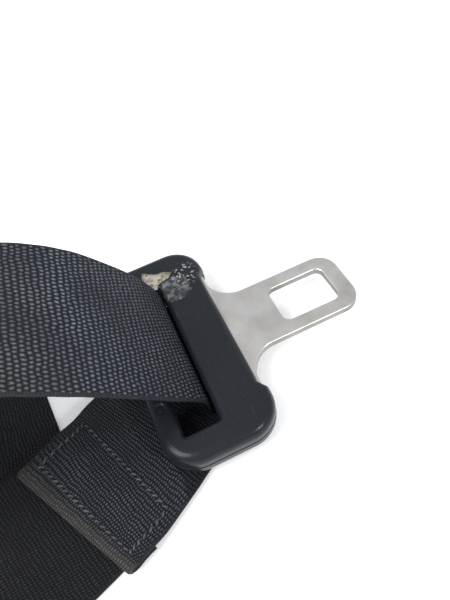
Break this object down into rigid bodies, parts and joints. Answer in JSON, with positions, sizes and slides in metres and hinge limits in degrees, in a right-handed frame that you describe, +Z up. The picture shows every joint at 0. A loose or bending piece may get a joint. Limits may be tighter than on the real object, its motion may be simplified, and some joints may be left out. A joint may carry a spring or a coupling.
{
  "type": "racing harness tongue assembly",
  "caption": "Latch tongue of a racing harness on looped webbing, with a stitched lap run to a snap hook and a shoulder run through a slide adjuster to a bolt-in anchor.",
  "frame": {"origin": "top face of the latch tongue's steel plate, on the plate's centre line, 9 mm in front of the cover", "axes": "+X along the blade towards its tip, +Z up out of the plate's top face, +Y to the left of the blade"},
  "size_m": [0.3786, 0.1515, 0.0662],
  "materials": {
    "tongue_steel": "satin, faintly brushed and smudged, warm grey",
    "cover_plastic": "near-black moulded plastic, satin face and glossier rounded edge, one worn chip",
    "liner_plastic": "plain black plastic",
    "webbing": "charcoal woven polyester, rows of small ribs across, worn browner at the fold",
    "thread": "grey bonded thread, short dashes",
    "fitting_steel": "stamped steel, satin",
    "dark_steel": "blackened steel, knurled on the slide bar",
    "zinc_steel": "zinc plated, faintly yellow",
    "fibre": "brown fibre washer",
    "tie_rubber": "black elastic band"
  },
  "bodies": {
    "webbing": {"tongue_webbing": "webbing", "junction_stitching": "thread", "lap_webbing": "webbing", "lap_hook_stitching": "thread", "lap_tie": "tie_rubber", "shoulder_webbing": "webbing", "shoulder_adjuster_stitching": "thread", "shoulder_anchor_stitching": "thread", "shoulder_tie": "tie_rubber", "adjuster_frame": "fitting_steel"},
    "tongue": {"tongue_plate": "tongue_steel", "tongue_cover_upper": "cover_plastic", "tongue_cover_lower": "cover_plastic", "tongue_slot_liner": "liner_plastic", "cover_peg_right": "liner_plastic", "cover_peg_left": "liner_plastic"},
    "slide_bar": {"adjuster_slide_bar": "dark_steel"},
    "anchor": {"anchor_plate": "fitting_steel", "anchor_bush": "zinc_steel", "anchor_washer": "zinc_steel", "anchor_retainer": "fibre"},
    "bolt": {"anchor_bolt": "zinc_steel"},
    "hook": {"hook_body": "fitting_steel", "hook_gate_pin": "zinc_steel", "hook_gate_spring": "dark_steel"},
    "gate": {"hook_gate": "fitting_steel"}
  },
  "joints": [
    {"name": "tongue_tilt", "type": "hinge", "parent": "webbing", "child": "tongue", "pos_m": [-0.0397, 0, -0.0014], "axis": [0, -1, 0], "range_deg": [0, 20]},
    {"name": "bar_slide", "type": "slide", "parent": "webbing", "child": "slide_bar", "axis": [1, 0, 0], "range_m": [0, 0.0035]},
    {"name": "anchor_swing", "type": "hinge", "parent": "webbing", "child": "anchor", "pos_m": [-0.297, 0.001, -0.0013], "axis": [0, 1, 0], "range_deg": [0, 60]},
    {"name": "bolt_spin", "type": "hinge", "parent": "anchor", "child": "bolt", "pos_m": [-0.329, 0.001, -0.0013], "axis": [0, 0, 1], "continuous": true},
    {"name": "hook_swing", "type": "hinge", "parent": "webbing", "child": "hook", "pos_m": [-0.19869, -0.07787, -0.0042], "axis": [-0.3272, 0.9449, 0], "range_deg": [0, 60]},
    {"name": "gate_open", "type": "hinge", "parent": "hook", "child": "gate", "pos_m": [-0.22631, -0.0959, -0.0042], "axis": [0, 0, -1], "range_deg": [0, 30], "stiffness_Nm_per_rad": 0.05, "springref_deg": -20.05}
  ]
}
